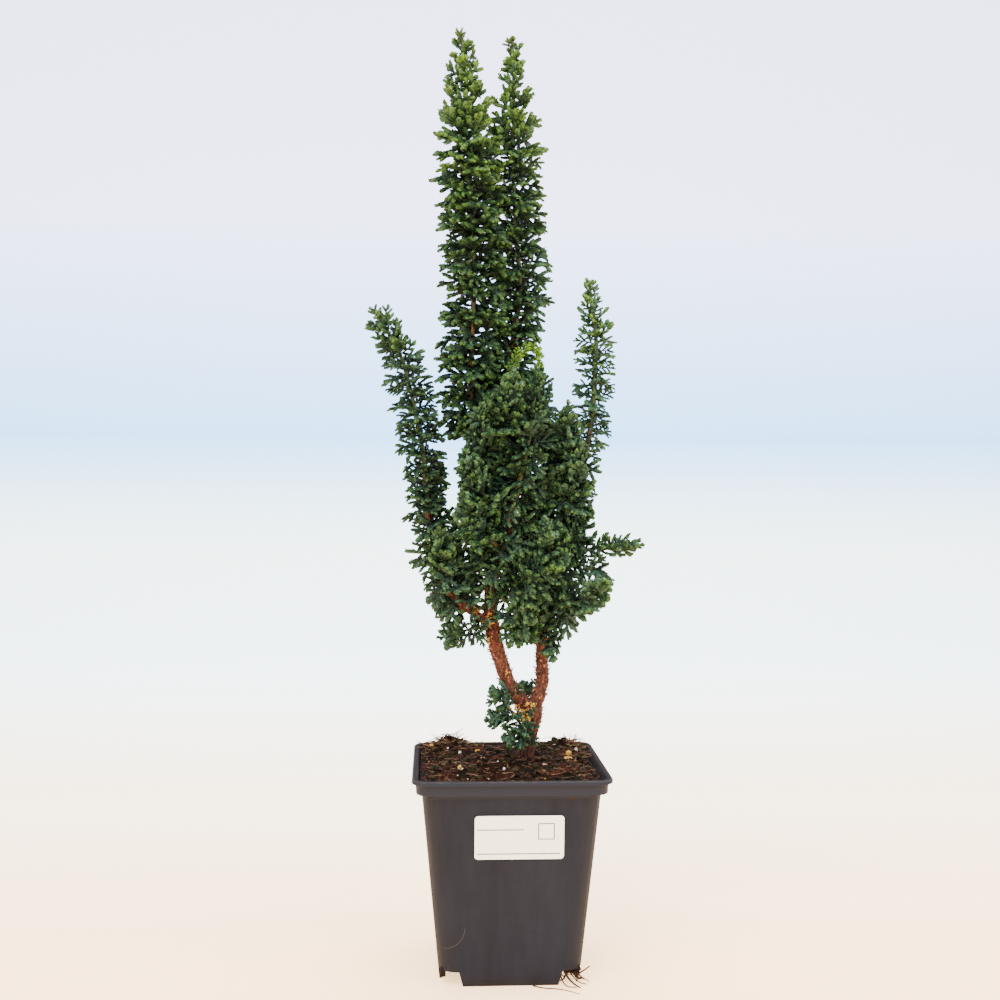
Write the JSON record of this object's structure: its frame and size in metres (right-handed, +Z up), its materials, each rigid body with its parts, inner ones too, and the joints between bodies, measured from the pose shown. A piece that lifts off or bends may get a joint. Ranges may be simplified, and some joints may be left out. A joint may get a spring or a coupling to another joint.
{
  "type": "hinoki cypress bonsai",
  "caption": "Young hinoki cypress bonsai with forked trunk, tall leafy spires and a bushy middle, in a square tapered nursery pot with a blank label.",
  "frame": {"origin": "centre of the pot's footprint at the level of the table", "axes": "+Z up the plant, the label's side of the pot faces -Y, +X to the right as seen from the label's side"},
  "size_m": [0.1621, 0.11, 0.5411],
  "materials": {
    "pot_plastic": "dark grey moulded plastic, lightly scuffed",
    "sticker": "white sticker, left blank",
    "peat": "moist reddish brown peat with fibres",
    "fertiliser": "crumbly orange pellet",
    "perlite": "white porous grain",
    "bark": "red-brown flaky bark",
    "leaf": "dark green scale leaves",
    "fresh_leaf": "dark green scale leaves, yellow-green at the tips"
  },
  "bodies": {
    "root": {"pot": "pot_plastic", "label": "sticker", "soil": "peat", "fertiliser_pellet": "fertiliser", "perlite_left": "perlite", "perlite_front": "perlite", "wood_chip": "bark", "trunk": "bark", "far_left_shoot_1": "leaf", "far_left_shoot_2": "leaf", "far_left_shoot_3": "leaf", "far_left_spire": "fresh_leaf", "fork_shoot": "leaf", "front_base_shoot": "leaf", "front_shoot_1": "leaf", "front_shoot_2": "leaf", "front_shoot_3": "leaf", "front_spire": "fresh_leaf", "left_base_shoot": "leaf", "left_fork_shoot": "leaf", "left_shoot_1": "leaf", "left_shoot_2": "leaf", "left_shoot_3": "leaf", "left_shoot_4": "leaf", "left_shoot_5": "leaf", "left_shoot_6": "leaf", "left_shoot_7": "leaf", "left_shoot_8": "leaf", "left_spire": "fresh_leaf", "low_left_shoot": "leaf", "low_right_shoot": "leaf", "middle_shoot_1": "leaf", "middle_shoot_2": "leaf", "middle_spire": "fresh_leaf", "right_shoot_1": "leaf", "right_shoot_2": "leaf", "right_shoot_3": "leaf", "right_shoot_4": "leaf", "right_shoot_5": "leaf", "right_shoot_6": "leaf", "right_shoot_7": "leaf", "right_shoot_8": "leaf", "right_shoot_9": "leaf", "right_spire": "fresh_leaf", "right_twig": "leaf"}
  },
  "joints": []
}
